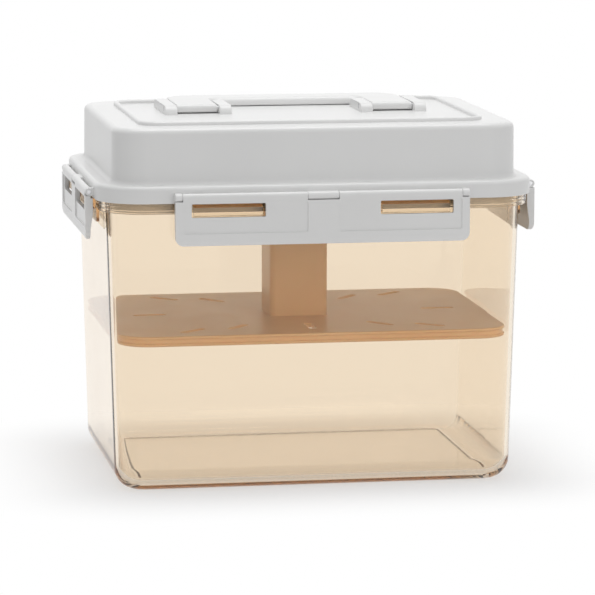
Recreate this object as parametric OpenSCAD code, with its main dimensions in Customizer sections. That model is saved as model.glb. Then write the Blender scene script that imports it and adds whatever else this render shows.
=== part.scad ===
// Fermenting container: a clear box, a domed lid with four hinged latches and
// a folding carry handle, and a press plate on a post that slides on the lid's stem.
// Millimetres, +Z up, the front faces -Y, the origin is at the centre of the base.

/* [Lid] */
// Width of the lid over its skirt, left to right
lid_w = 250; // [220:1:320]
// Depth of the lid over its skirt, front to back
lid_d = 184; // [170:1:260]
// Outer corner radius of the skirt
skirt_r = 28; // [26:0.5:30]
// Height of the skirt, from its lower edge to the flange's top
skirt_h = 9.7; // [8:0.1:10.5]
// Thickness of the skirt
skirt_t = 1.8; // [1.4:0.1:2.2]
// Thickness of the flange between the dome and the skirt
flange_t = 2.6; // [2:0.1:3.2]
// Rounding of the skirt's upper edge
skirt_edge_r = 2.4; // [1:0.1:2.6]
// Distance from the skirt's face in to the dome's wall
dome_inset = 9.2; // [8.8:0.1:9.6]
// Height of the dome above the flange
dome_h = 31.3; // [26:0.1:45]
// Thickness of the dome
dome_wall = 2.3; // [1.8:0.1:3]
// Draft of the dome's wall in degrees
dome_draft = 0.5; // [0:0.1:2]
// Outer radius of the dome's shoulder
shoulder_r = 3.5; // [3:0.5:6]
// Fillet where the dome meets the flange
dome_fillet = 2.5; // [1:0.1:4]
// Length of the plug below the flange that enters the container's mouth
plug_h = 13.2; // [6:0.1:15]
// Distance from the dome's wall in to the ridge on its top
ridge_inset = 16.3; // [12:0.1:20]
// Outer corner radius of the ridge
ridge_r = 12; // [8:0.5:18]
// Width of the ridge
ridge_w = 3; // [2:0.1:4]
// Height of the ridge
ridge_h = 2.2; // [1.4:0.1:3]

/* [Gasket] */
// Width of the gasket
gasket_w = 4.4; // [3:0.1:4.6]
// Height of the gasket
gasket_h = 4.4; // [3.5:0.1:5]
// Bevel of the gasket's lower edges
gasket_bevel = 1.2; // [0.5:0.1:1.4]
// Gap between the gasket and the container's rim
seal_gap = 0.3; // [0.2:0.05:0.5]

/* [Container] */
// Height of the container to the top of its rim
container_h = 168.3; // [140:0.1:220]
// Distance from the skirt's face in to the container's wall at the rim
body_inset = 6; // [5.6:0.1:6.4]
// Draft of the container's wall in degrees
body_draft = 1.57; // [0.5:0.01:2]
// Thickness of the container's wall
body_wall = 2.5; // [2:0.1:3]
// Thickness of the container's floor
floor_t = 3; // [2.5:0.1:4]
// Outer fillet between the wall and the base
base_fillet = 12; // [8:0.5:13]
// Depth of the recess inside the foot ring
foot_h = 1.5; // [0.8:0.1:2.5]
// Thickness of the rim's flat top
rim_t = 2.3; // [1.8:0.1:3]
// Depth of the rim's outer lip
rim_drop = 8.5; // [6:0.1:9]
// Thickness of the rim's outer lip
rim_lip_t = 1.8; // [1.4:0.1:2.2]
// Gap between the rim and the inside of the skirt
rim_gap = 0.4; // [0.3:0.05:0.6]

/* [Latches] */
// Distance from the corner's arc to each end of the front and back latches
front_latch_end = 13.4; // [4:0.1:20]
// Distance from the corner's arc to each end of the side latches
side_latch_end = 4; // [3:0.1:8]
// Thickness of a latch
latch_t = 3; // [2.6:0.1:3.4]
// Distance from the flange's top down to a latch's lower edge
latch_drop = 33.2; // [29:0.1:40]
// Radius of a latch's lower corners
latch_corner_r = 4.8; // [3:0.1:7]
// Distance from the flange's top down to the hinge axis
hinge_drop = 6; // [5.4:0.1:6.3]
// Outer radius of the hinge barrels
barrel_r = 2.2; // [2:0.05:2.4]
// Gap between a barrel and the skirt's face
barrel_gap = 0.4; // [0.3:0.05:0.6]
// Radius of a hinge pin
pin_r = 1.2; // [1:0.05:1.4]
// Radial clearance of a barrel on its pin
pin_clear = 0.05; // [0.03:0.01:0.1]
// Radial clearance of a fixed pin in its lug
pin_seat = 0.02; // [0.01:0.01:0.03]
// Length of a window in a latch
window_len = 41.9; // [30:0.1:42]
// Height of a window in a latch
window_h = 7.7; // [6.5:0.1:8.5]
// Distance from the flange's top down to a window
window_drop = 9.6; // [9.3:0.1:10.5]
// Distance from a latch's end to its window
window_end = 9.1; // [7:0.1:9.2]
// Width of the raised strip at a latch's middle
strip_w = 17.6; // [14:0.1:18]
// Depth of the panels beside the strip
panel_depth = 0.7; // [0.4:0.1:1]
// Distance from a latch's end to its panel
panel_end = 4.4; // [3:0.1:6]
// Height of the border below the panels
panel_foot = 6.8; // [4:0.1:8]
// Width of a hinge lug at a latch's end
end_lug_w = 4; // [3:0.1:5]
// Gap between the ends of barrels and lugs
hinge_gap = 0.4; // [0.3:0.05:0.6]

/* [Catches] */
// Gap between a catch and the latch that hangs in front of it
catch_gap = 0.3; // [0.2:0.05:0.5]
// Height of a catch
catch_h = 6.3; // [5:0.1:6.4]
// Gap between a catch and its window at each end
catch_end_gap = 1.4; // [1:0.1:3]
// Gap between a catch and the lower edge of its window
catch_lift = 0.4; // [0.3:0.05:0.6]
// Depth of the apron behind the catches, below the rim's lip
apron_drop = 8; // [5:0.1:12]
// Distance from a latch's end to the apron's end
apron_end = 6; // [4:0.1:7]
// Depth by which a gusset reaches below the apron at the wall
gusset_drop = 5; // [2:0.1:8]

/* [Handle] */
// Distance between the middles of the handle's arms
arm_span = 115; // [100:1:130]
// Width of a handle arm
arm_w = 24; // [18:0.5:28]
// Thickness of the handle
handle_t = 4.8; // [4.4:0.1:6]
// Reach of the handle from its pivot to its grip's far edge
handle_reach = 58; // [50:0.5:59]
// Width of the grip
grip_w = 22; // [16:0.5:26]
// Outer corner radius of the handle
handle_r = 14; // [8:0.5:18]
// Depth of the finger relief under the grip
grip_relief = 1.7; // [0.8:0.1:2]
// Gap between the handle and what it lies on or between
handle_gap = 0.4; // [0.3:0.05:0.6]
// Width of a rail beside a handle arm
rail_w = 7; // [5:0.1:8]
// Length of a rail behind the pivot
rail_back = 42; // [25:0.5:48]
// Length of a rail in front of the pivot
rail_front = 9; // [6:0.5:14]
// Radius of a handle pin
handle_pin_r = 1.5; // [1.2:0.05:1.7]

/* [Press] */
// Gap between the press plate and the container's wall at its lowest place
plate_gap = 1.5; // [0.6:0.1:3]
// Travel of the press plate below its stored place
press_down = 25; // [15:1:40]
// Height of the press plate's underside in its stored place
plate_z = 83.3; // [74:0.1:95]
// Thickness of the press plate
plate_t = 2.5; // [2:0.1:4]
// Height of the press plate's turned-down rim
plate_rim_h = 5.9; // [5:0.1:8]
// Thickness of the press plate's rim
plate_rim_t = 2.2; // [1.8:0.1:3]
// Height of each of the two beads round the rim
bead_h = 1.7; // [1:0.1:2]
// Depth of the groove between the beads
bead_groove = 0.6; // [0.3:0.1:0.8]
// Distance by which the plate's corner centres lie inside the container's
plate_corner = 3; // [0:0.5:6]
// Width of the square post
post_w = 34; // [30:0.5:38]
// Wall of the post
post_wall = 2; // [1.6:0.1:2.6]
// Outer corner radius of the post
post_r = 3.5; // [3:0.1:5]
// Height of the post
post_h = 97.1; // [90:0.1:97.4]
// Gap between the post and the stem inside it
stem_gap = 0.3; // [0.2:0.05:0.5]
// Wall of the stem
stem_wall = 1.8; // [1.4:0.1:2.4]
// Length of the stem below the dome's inside
stem_len = 98.8; // [90:0.1:105]
// Wall of the socket that holds the stem
socket_wall = 1.6; // [1.2:0.1:2]
// Depth of the stem's socket below the dome's inside
socket_h = 5; // [3:0.1:8]
// Depth of the post's seat in the plate
seat_h = 4.5; // [3:0.1:4.8]
// Wall of the round boss under the plate at the corners of the post's seat
boss_wall = 2.2; // [1.6:0.1:4]
// Clearance of the post in its seat and of the stem in its socket
seat_gap = 0.15; // [0.1:0.01:0.2]
// Length of a drain slit
slit_len = 20; // [12:0.5:22]
// Width of a drain slit
slit_w = 4.6; // [3:0.1:6]
// Distance from the plate's edge in to the middle of the slits
slit_inset = 26; // [24:0.5:30]

/* [Hidden] */
$fn = 48;
arc_steps = 8;
weld = 0.5;
past = 1;
// Corner centres that the container, the lid, the gasket and the plate share
centre_x = lid_w / 2 - skirt_r;
centre_y = lid_d / 2 - skirt_r;
// Heights
flange_under = container_h + seal_gap + gasket_h;
flange_top = flange_under + flange_t;
skirt_z = flange_top - skirt_h;
dome_top = flange_top + dome_h;
dome_inside = dome_top - dome_wall;
rim_lip_z = container_h - rim_drop;
hinge_z = flange_top - hinge_drop;
latch_z = flange_top - latch_drop;
window_top = flange_top - window_drop;
window_z = window_top - window_h;
catch_z = window_z + catch_lift;
apron_z = rim_lip_z - apron_drop;
floor_z = foot_h + floor_t;
pivot_z = dome_top + handle_gap + handle_t / 2;
plate_top = plate_z + plate_rim_h;
post_z = plate_top - seat_h;
// Radii from the corner centres
dome_r = skirt_r - dome_inset;
body_r = skirt_r - body_inset;
rim_r = skirt_r - skirt_t - rim_gap;
lip_r = rim_r - rim_lip_t;
gasket_r = dome_r + seal_gap;
base_r = body_r - container_h * tan(body_draft);
wall_run = body_wall / cos(body_draft);
plate_r = base_r + (plate_z - press_down) * tan(body_draft) - wall_run - plate_gap;
// Places outward of the skirt's face
latch_gap = barrel_gap + 2 * barrel_r - latch_t;
latch_out = latch_gap + latch_t;
hinge_out = barrel_gap + barrel_r;
catch_out = latch_gap - catch_gap;
// Lengths of the latches
front_latch_len = 2 * (centre_x - front_latch_end);
side_latch_len = 2 * (centre_y - side_latch_end);
// Rails, arms and stem
rail_h = handle_gap + handle_t;
arm_x = arm_span / 2;
rail_x = arm_w / 2 + handle_gap + rail_w / 2;
grip_y = handle_reach - grip_w;
handle_inner_r = handle_r / 2;
inner_rail_back = min(rail_back, grip_y - handle_inner_r - handle_gap);
stem_w = post_w - 2 * (post_wall + stem_gap);
stem_r = max(post_r - post_wall - stem_gap, 0.5);
// Places of the drain slits in a quarter of the plate, as shares of the slits' reach to each side
slit_places = [[0, 1], [0.48, 0.96], [0.8, 1.14], [1, 0]];
lid_colour = [0.93, 0.93, 0.92];
clear_colour = [0.9, 0.85, 0.78, 0.35];
press_colour = [0.85, 0.74, 0.6, 0.8];
pin_colour = [0.75, 0.75, 0.76];
seal_colour = [0.88, 0.88, 0.86];

// Points along an arc about c
function arc(c, r, a0, a1) =
    [for (i = [0:arc_steps]) let (a = a0 + (a1 - a0) * i / arc_steps) c + r * [cos(a), sin(a)]];

// Outline of a rectangle with round corners, about its middle
function round_rect(w, d, r) = concat(
    arc([w / 2 - r, d / 2 - r], r, 0, 90),
    arc([r - w / 2, d / 2 - r], r, 90, 180),
    arc([r - w / 2, r - d / 2], r, 180, 270),
    arc([w / 2 - r, r - d / 2], r, 270, 360));

// Radius of the container's outer wall at a height
function body_r_at(z) = base_r + z * tan(body_draft);

// Carries a section (radius from the corner centre, height) round a rectangle of corner centres
module swept(cx, cy) {
    for (i = [0:3]) {
        sx = (i == 0 || i == 3) ? 1 : -1;
        sy = i < 2 ? 1 : -1;
        run = i % 2 == 0 ? 2 * cy : 2 * cx;
        translate([sx * cx, sy * cy, 0]) rotate([0, 0, 90 * i]) {
            rotate_extrude(angle = 90) children();
            rotate([90, 0, 0]) linear_extrude(run) children();
        }
    }
}

// Fills the middle of a swept piece between two heights, welded into its section
module middle(cx, cy, z0, z1) {
    x = cx + weld;
    y = cy + weld;
    translate([-x, -y, z0]) cube([2 * x, 2 * y, z1 - z0]);
}

// Puts a piece drawn outward of the front skirt face on one of the four sides
module at_front() {
    translate([0, -lid_d / 2, 0]) children();
}
module at_back() {
    rotate([0, 0, 180]) at_front() children();
}
module at_left() {
    rotate([0, 0, -90]) translate([0, -lid_w / 2, 0]) children();
}
module at_right() {
    rotate([0, 0, 90]) translate([0, -lid_w / 2, 0]) children();
}

// A rod along X, centred on x
module rod(x, len, r) {
    translate([x - len / 2, 0, 0]) rotate([0, 90, 0]) cylinder(r = r, h = len);
}

// A section (outward, height) drawn along X, centred on x
module along_x(x, len) {
    translate([x + len / 2, 0, 0]) rotate([90, 0, -90]) linear_extrude(len) children();
}

module container_section() {
    fillet_r = base_r + base_fillet * tan(body_draft) - base_fillet / cos(body_draft);
    inner_fillet = base_fillet - body_wall;
    inner_z = floor_z + inner_fillet;
    inner_r = base_r - wall_run + inner_z * tan(body_draft) - inner_fillet / cos(body_draft);
    rim_under = container_h - rim_t;
    polygon(concat(
        [[0, foot_h], [fillet_r - 2 * foot_h, foot_h], [fillet_r - foot_h, 0]],
        arc([fillet_r, base_fillet], base_fillet, -90, -body_draft),
        [[body_r_at(rim_under), rim_under], [lip_r, rim_under], [lip_r, rim_lip_z], [rim_r, rim_lip_z],
         [rim_r, container_h], [body_r - wall_run, container_h]],
        arc([inner_r, inner_z], inner_fillet, -body_draft, -90),
        [[0, floor_z]]));
}

// Apron below the rim's lip, with gussets back to the wall and two catches
module apron(len) {
    apron_len = len - 2 * apron_end;
    lip_out = rim_r - skirt_r;
    wall_out = body_r_at(apron_z - gusset_drop) - skirt_r - body_wall / 2;
    along_x(0, apron_len)
        polygon([[lip_out, apron_z], [lip_out, rim_lip_z + weld],
                 [lip_out - rim_lip_t, rim_lip_z + weld], [lip_out - rim_lip_t, apron_z]]);
    for (x = [-1, 0, 1])
        along_x(x * (apron_len - rim_lip_t) / 2, rim_lip_t)
            polygon([[lip_out, apron_z], [lip_out, rim_lip_z + weld],
                     [wall_out, rim_lip_z + weld], [wall_out, apron_z - gusset_drop]]);
    for (s = [-1, 1])
        along_x(s * (len / 2 - window_end - window_len / 2), window_len - 2 * catch_end_gap)
            polygon([[lip_out - weld, catch_z], [catch_out, catch_z], [catch_out, catch_z + catch_h / 2],
                     [lip_out, catch_z + catch_h], [lip_out - weld, catch_z + catch_h]]);
}

module container() {
    color(clear_colour) {
        swept(centre_x, centre_y) container_section();
        middle(centre_x, centre_y, foot_h, floor_z);
        at_front() apron(front_latch_len);
        at_back() apron(front_latch_len);
        at_left() apron(side_latch_len);
        at_right() apron(side_latch_len);
    }
}

module lid_section() {
    lean = dome_h * tan(dome_draft);
    top_r = dome_r - lean - shoulder_r;
    rib_in = gasket_r + gasket_w + seal_gap;
    rib_out = skirt_r - skirt_t;
    rib_z = flange_under - gasket_h / 2;
    polygon(concat(
        [[0, dome_top]],
        arc([top_r, dome_top - shoulder_r], shoulder_r, 90, 0),
        arc([dome_r + dome_fillet, flange_top + dome_fillet], dome_fillet, 180, 270),
        arc([skirt_r - skirt_edge_r, flange_top - skirt_edge_r], skirt_edge_r, 90, 0),
        [[skirt_r, skirt_z], [rib_out, skirt_z], [rib_out, rib_z], [rib_in, rib_z], [rib_in, flange_under],
         [dome_r, flange_under], [dome_r, flange_under - plug_h], [dome_r - dome_wall, flange_under - plug_h]],
        arc([top_r, dome_top - shoulder_r], shoulder_r - dome_wall, 0, 90),
        [[0, dome_inside]]));
}

// Lugs on the skirt's face that hold a latch's pin
module lugs(len) {
    end_x = (len - end_lug_w) / 2;
    difference() {
        for (lug = [[-end_x, end_lug_w], [0, strip_w], [end_x, end_lug_w]]) {
            translate([lug[0] - lug[1] / 2, -hinge_out, hinge_z - barrel_r])
                cube([lug[1], hinge_out + weld, 2 * barrel_r]);
            translate([0, -hinge_out, hinge_z]) rod(lug[0], lug[1], barrel_r);
        }
        translate([0, -hinge_out, hinge_z]) rod(0, len + 2 * past, pin_r + pin_seat);
    }
}

// One rail on the dome's top, beside a handle arm, with a hole for the arm's pin
module rail(x, back) {
    difference() {
        along_x(x, rail_w)
            polygon(concat(
                [[rail_front, dome_top - weld]],
                arc([rail_front - rail_h, dome_top], rail_h, 0, 90),
                arc([rail_h - back, dome_top], rail_h, 90, 180),
                [[-back, dome_top - weld]]));
        translate([0, 0, pivot_z]) rod(x, rail_w + 2 * past, handle_pin_r + pin_seat);
    }
}

module lid_shell() {
    ridge_x = lid_w / 2 - dome_inset - dome_h * tan(dome_draft) - ridge_inset - ridge_r;
    ridge_y = ridge_x - (lid_w - lid_d) / 2;
    socket_w = stem_w + 2 * seat_gap;
    color(lid_colour) {
        swept(centre_x, centre_y) lid_section();
        middle(centre_x, centre_y, dome_inside, dome_top);
        swept(ridge_x, ridge_y)
            polygon(concat(
                [[ridge_r - ridge_w, dome_top - weld], [ridge_r, dome_top - weld]],
                arc([ridge_r - ridge_w / 2, dome_top + ridge_h - ridge_w / 2], ridge_w / 2, 0, 180)));
        for (s = [-1, 1]) {
            rail(s * (arm_x + rail_x), rail_back);
            rail(s * (arm_x - rail_x), inner_rail_back);
        }
        at_front() lugs(front_latch_len);
        at_back() lugs(front_latch_len);
        at_left() lugs(side_latch_len);
        at_right() lugs(side_latch_len);
        translate([0, 0, dome_inside - socket_h]) linear_extrude(socket_h + weld)
            difference() {
                square(socket_w + 2 * socket_wall, center = true);
                polygon(round_rect(socket_w, socket_w, stem_r));
            }
    }
}

module lid_gasket() {
    color(seal_colour)
        swept(centre_x, centre_y)
            polygon([[gasket_r, flange_under], [gasket_r + gasket_w, flange_under],
                     [gasket_r + gasket_w, flange_under - gasket_h + gasket_bevel],
                     [gasket_r + gasket_w - gasket_bevel, flange_under - gasket_h],
                     [gasket_r + gasket_bevel, flange_under - gasket_h],
                     [gasket_r, flange_under - gasket_h + gasket_bevel]]);
}

// One latch, hanging outward of the skirt's face
module latch(len) {
    lug_edge = strip_w / 2 + hinge_gap;
    barrel_len = len / 2 - end_lug_w - hinge_gap - lug_edge;
    barrel_x = lug_edge + barrel_len / 2;
    plate_top = hinge_z - barrel_r - hinge_gap;
    panel_len = len / 2 - panel_end - strip_w / 2;
    panel_x = strip_w / 2 + panel_len / 2;
    panel_z = latch_z + panel_foot;
    window_x = len / 2 - window_end - window_len / 2;
    difference() {
        union() {
            translate([0, -latch_gap, 0]) rotate([90, 0, 0]) linear_extrude(latch_t)
                polygon(concat(
                    [[len / 2, plate_top], [-len / 2, plate_top]],
                    arc([latch_corner_r - len / 2, latch_z + latch_corner_r], latch_corner_r, 180, 270),
                    arc([len / 2 - latch_corner_r, latch_z + latch_corner_r], latch_corner_r, 270, 360)));
            for (s = [-1, 1]) {
                translate([s * barrel_x - barrel_len / 2, -latch_out, plate_top - weld])
                    cube([barrel_len, latch_t, hinge_z - plate_top + weld]);
                translate([0, -hinge_out, hinge_z]) rod(s * barrel_x, barrel_len, barrel_r);
            }
        }
        translate([0, -hinge_out, hinge_z]) rod(0, len, pin_r + pin_clear);
        for (s = [-1, 1]) {
            translate([s * window_x - window_len / 2, -latch_out - past, window_z])
                cube([window_len, latch_t + 2 * past, window_h]);
            translate([s * panel_x - panel_len / 2, -latch_out - past, panel_z])
                cube([panel_len, panel_depth + past, plate_top - hinge_gap - panel_z]);
        }
    }
}

module latch_pin(len) {
    color(pin_colour) translate([0, -hinge_out, hinge_z]) rod(0, len - 2 * hinge_gap, pin_r);
}

module latch_front() {
    color(lid_colour) at_front() latch(front_latch_len);
}
module latch_back() {
    color(lid_colour) at_back() latch(front_latch_len);
}
module latch_left() {
    color(lid_colour) at_left() latch(side_latch_len);
}
module latch_right() {
    color(lid_colour) at_right() latch(side_latch_len);
}
module latch_pin_front() {
    at_front() latch_pin(front_latch_len);
}
module latch_pin_back() {
    at_back() latch_pin(front_latch_len);
}
module latch_pin_left() {
    at_left() latch_pin(side_latch_len);
}
module latch_pin_right() {
    at_right() latch_pin(side_latch_len);
}

module carry_handle() {
    outer_w = arm_span + arm_w;
    inner_w = arm_span - arm_w;
    inner_r = handle_inner_r;
    color(lid_colour)
        difference() {
            union() {
                translate([0, 0, pivot_z - handle_t / 2]) linear_extrude(handle_t)
                    polygon(concat(
                        [[inner_w / 2, 0], [outer_w / 2, 0]],
                        arc([outer_w / 2 - handle_r, handle_reach - handle_r], handle_r, 0, 90),
                        arc([handle_r - outer_w / 2, handle_reach - handle_r], handle_r, 90, 180),
                        [[-outer_w / 2, 0], [-inner_w / 2, 0]],
                        arc([inner_r - inner_w / 2, grip_y - inner_r], inner_r, 180, 90),
                        arc([inner_w / 2 - inner_r, grip_y - inner_r], inner_r, 90, 0)));
                for (s = [-1, 1])
                    translate([0, 0, pivot_z]) rod(s * arm_x, arm_w, handle_t / 2);
            }
            for (s = [-1, 1])
                translate([0, 0, pivot_z]) rod(s * arm_x, arm_w + 2 * past, handle_pin_r + pin_clear);
            translate([-inner_w / 2 + inner_r, grip_y - past, pivot_z - handle_t / 2 - past])
                cube([inner_w - 2 * inner_r, grip_w + 2 * past, grip_relief + past]);
        }
}

module handle_pin() {
    color(pin_colour) translate([0, 0, pivot_z]) rod(0, 2 * rail_x + rail_w, handle_pin_r);
}
module handle_pin_left() {
    translate([-arm_x, 0, 0]) handle_pin();
}
module handle_pin_right() {
    translate([arm_x, 0, 0]) handle_pin();
}

module guide_stem() {
    bore_w = stem_w - 2 * stem_wall;
    color(press_colour)
        translate([0, 0, dome_inside - stem_len]) linear_extrude(stem_len)
            difference() {
                polygon(round_rect(stem_w, stem_w, stem_r));
                square(bore_w, center = true);
            }
}

module press_post() {
    bore_w = post_w - 2 * post_wall;
    color(press_colour)
        translate([0, 0, post_z]) linear_extrude(post_h)
            difference() {
                polygon(round_rect(post_w, post_w, post_r));
                polygon(round_rect(bore_w, bore_w, post_r - post_wall));
            }
}

// A slot with round ends, cut down through the plate
module slit() {
    run = slit_len - slit_w;
    translate([-run / 2, -slit_w / 2, 0]) cube([run, slit_w, plate_t + 2 * past]);
    for (s = [-1, 1])
        translate([s * run / 2, 0, 0]) cylinder(d = slit_w, h = plate_t + 2 * past);
}

// The plate's edge: a flat top and a turned-down rim with two beads round it
module plate_section() {
    edge = plate_r + plate_corner;
    inner = edge - plate_rim_t;
    under = plate_top - plate_t;
    polygon([[0, under], [inner, under], [inner, plate_z], [edge, plate_z], [edge, plate_z + bead_h],
             [edge - bead_groove, plate_z + bead_h], [edge - bead_groove, plate_top - bead_h],
             [edge, plate_top - bead_h], [edge, plate_top], [0, plate_top]]);
}

module press_plate() {
    plate_x = centre_x - plate_corner;
    plate_y = centre_y - plate_corner;
    reach_x = centre_x + plate_r - slit_inset;
    reach_y = centre_y + plate_r - slit_inset;
    seat_w = post_w + 2 * seat_gap;
    boss_r = (seat_w / 2 - post_r) * sqrt(2) + post_r + boss_wall;
    color(press_colour)
        difference() {
            union() {
                swept(plate_x, plate_y) plate_section();
                middle(plate_x, plate_y, plate_top - plate_t, plate_top);
                translate([0, 0, plate_z]) cylinder(r = boss_r, h = plate_rim_h - plate_t / 2);
            }
            translate([0, 0, post_z]) linear_extrude(seat_h + past)
                polygon(round_rect(seat_w, seat_w, post_r));
            for (p = slit_places, sx = [-1, 1], sy = [-1, 1])
                if ((p[0] > 0 || sx > 0) && (p[1] > 0 || sy > 0))
                    translate([sx * p[0] * reach_x, sy * p[1] * reach_y, plate_top - plate_t - past])
                        rotate([0, 0, atan2(sy * p[1] * reach_y, sx * p[0] * reach_x)]) slit();
        }
}

container();
lid_shell();
lid_gasket();
latch_front();
latch_back();
latch_left();
latch_right();
latch_pin_front();
latch_pin_back();
latch_pin_left();
latch_pin_right();
carry_handle();
handle_pin_left();
handle_pin_right();
guide_stem();
press_plate();
press_post();
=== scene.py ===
"""Looks of the fermenting container: a clear box, a domed lid with four latches, and a press plate."""

import math
from functools import partial

import bmesh
import bpy
from mathutils import Matrix, Vector


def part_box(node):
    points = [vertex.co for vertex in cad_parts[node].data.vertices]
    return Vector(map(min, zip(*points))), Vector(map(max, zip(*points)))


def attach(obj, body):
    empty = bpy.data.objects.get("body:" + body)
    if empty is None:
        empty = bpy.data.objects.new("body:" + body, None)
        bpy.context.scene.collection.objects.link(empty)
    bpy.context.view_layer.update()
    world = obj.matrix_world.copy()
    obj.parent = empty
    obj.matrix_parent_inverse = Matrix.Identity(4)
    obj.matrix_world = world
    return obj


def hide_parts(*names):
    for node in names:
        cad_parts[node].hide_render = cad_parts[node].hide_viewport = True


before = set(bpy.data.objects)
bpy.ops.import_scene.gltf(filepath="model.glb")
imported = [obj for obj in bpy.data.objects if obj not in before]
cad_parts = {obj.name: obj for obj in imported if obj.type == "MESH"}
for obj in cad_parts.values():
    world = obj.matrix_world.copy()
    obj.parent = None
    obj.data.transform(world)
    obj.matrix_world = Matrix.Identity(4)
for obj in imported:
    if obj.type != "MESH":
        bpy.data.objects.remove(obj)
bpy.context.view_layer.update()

# Sizes are in millimetres, as in the part's source, and become metres where a mesh is made
MM = 0.001
SIDES = ("front", "back", "left", "right")
SIDE_TURNS = {"front": 0, "back": 180, "left": -90, "right": 90}

# Corner centres that the container, the lid and the gasket share
CENTRE = (97.0, 64.0)
# Radius from the corner centres at which an open section starts and ends
START_R = 1.0
# How far a piece sinks into what it joins, and how far a cut runs past what it cuts
WELD = 0.5
PAST = 1.0

# Fineness of the meshes; angles are in degrees
CORNER_STEPS = 24
CIRCLE_STEPS = 32
ARC_STEP = 10.0
ARC_SHARE = 0.98
SLIVER = 0.004
BEVEL_SEGMENTS = 3
SMOOTH_ANGLE = 40.0
BLOCK_ANGLE = 50.0
NORMAL_WEIGHT = 90

# Container
CONTAINER_TOP = 168.3
WALL = 2.5
DRAFT = math.tan(math.radians(1.57))
BODY_R = 22.0
BASE_FILLET = 12.0
FOOT_H = 1.5
FOOT_EDGE = 0.6
FLOOR_Z = 4.5
RIM_R = 25.8
LIP_R = 24.0
LIP_T = RIM_R - LIP_R
LIP_Z = 159.8
LIP_EDGE = 0.4
LIP_INNER_EDGE = 0.5
LIP_LINES = (161.6, 163.6)
LIP_LINE_W = 0.9
LIP_LINE_DEPTH = 0.25
LIP_LINE_EDGE = 0.2
RIM_T = 2.3
RIM_EDGE = 0.6
APRON_Z = 151.8
APRON_END = 6.0
APRON_CORNER = 1.5
GUSSET_DROP = 5.0
GUSSET_TOE = 0.6
CATCH_Z = 158.7
CATCH_H = 6.3
CATCH_FACE = 4.9
CATCH_OUT = 1.5
CATCH_GAP = 1.4
CATCH_EDGES = (0.3, 0.8, 0.4)

# Lid
SKIRT_R = 28.0
# Pieces of a side are drawn with the skirt's face at Y = 0, and the apron's face lies behind it
APRON_Y = SKIRT_R - RIM_R
SKIRT_Z = 165.9
SKIRT_T = 1.8
SKIRT_EDGE = 2.4
SKIRT_END_EDGE = 0.4
RIB_R = 23.8
RIB_Z = 170.8
RIB_EDGE = 0.3
FLANGE_TOP = 175.6
FLANGE_UNDER = 173.0
PLUG_Z = 159.8
PLUG_EDGE = 0.5
DOME_R = 18.8
DOME_LEAN = 0.27
DOME_TOP = 206.9
DOME_WALL = 2.3
SHOULDER = 3.5
DOME_FILLET = 2.5
RIDGE_CENTRE = (87.23, 54.23)
RIDGE_R = 12.0
RIDGE_W = 3.0
RIDGE_H = 2.2
RIDGE_EDGE = 1.3
RAIL_BEVEL = 0.5
LUG_BEVEL = 0.25
SOCKET_WALL = 1.6
SOCKET_DEPTH = 5.0
SOCKET_EDGE = 0.4
GASKET_R = (19.1, 23.5)
GASKET_BEVEL = 1.2
GASKET_TOP_EDGE = 0.3
GASKET_EDGE = 0.6

# Latches; depths are outward of the skirt's face
LATCH_IN = 1.8
LATCH_OUT = 4.8
LATCH_TOP = 167.3
LATCH_Z = 142.4
LATCH_CORNER = 4.8
LATCH_TOP_CORNER = 0.6
LATCH_BEVEL = 0.3
HINGE_OUT = 2.6
HINGE_Z = 169.6
BARREL_R = 2.2
BARREL_SINK = 1.0
PIN_HOLE = 1.25
END_LUG = 4.0
HINGE_GAP = 0.2
STRIP_W = 17.6
WINDOW_END = 9.1
WINDOW_LEN = 41.9
WINDOW_Z = (158.3, 166.0)
WINDOW_CORNER = 0.8
PANEL_END = 4.4
PANEL_Z = (149.2, 166.6)
PANEL_DEPTH = 0.7
PANEL_CORNER = 1.2
RETURN_IN = 0.45
RETURN_T = 2.0
RETURN_Z = (148.5, 165.8)
RETURN_TAPER = 9.0
# Depth and height of the curve at a latch's lower end, and the shares of that height with points
CURVE = (1.2, 5.0)
CURVE_LEVELS = (0.08, 0.17, 0.28, 0.42, 0.6, 0.8, 1.0)

# Handle
RAIL_W = 7.0
RAIL_FRONT = -9.0
RAIL_BACK = 42.0
INNER_RAIL_BACK = 28.6
ARM_X = 57.5
ARM_W = 24.0
ARM_GAP = 0.4
GRIP_Y = 36.0
HANDLE_R = 14.0
GRIP_RELIEF = 1.7
RELIEF_START = 5.0
RELIEF_CORNER = 4.0
GRIP_ROUND = 3.4
GRIP_UNDER = 1.0
GRIP_STEPS = 6
ARM_SOFT = 0.25
HANDLE_PIN_R = 1.53
HANDLE_PIN_PLAY = 0.02

# Press
PLATE_T = 2.5
PLATE_CENTRE = (94.0, 61.0)
PLATE_EDGE = 0.8
PLATE_BEVEL = 0.3
RIM_WALL = 2.2
BEAD_H = 1.7
BEAD_EDGE = 0.6
BEAD_GROOVE = 0.6
BEAD_PROUD = 0.4
WAIST_EDGE = 0.5
BOSS_R = 25.0
BOSS_STEPS = 64
SEAT_H = 4.5
SEAT_GAP = 0.15
POST_R = 3.5
POST_WALL = 2.0
STEM_R = 2.2
STEM_WALL = 1.8
TUBE_OUTER_EDGE = 0.5
TUBE_INNER_EDGE = 0.4
SLIT_PLACES = ((0, 1), (0.48, 0.96), (0.8, 1.14), (1, 0))
SLIT_LEN = 20.0
SLIT_W = 4.6
SLIT_END_FLAT = 0.02
SLIT_INSET = 26.0

# Clear plastic
CLEAR_COLOUR = (0.935, 0.865, 0.765, 1)
CLEAR_IOR = 1.4
CLEAR_SHADOW = (0.95, 0.93, 0.9, 1)
CLEAR_DEPTH_COLOUR = (0.8, 0.55, 0.2, 1)
CLEAR_DEPTH_DENSITY = 20.0
# Values of a noise that are stretched to the full range
NOISE_RANGE = (0.3, 0.7)

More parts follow.
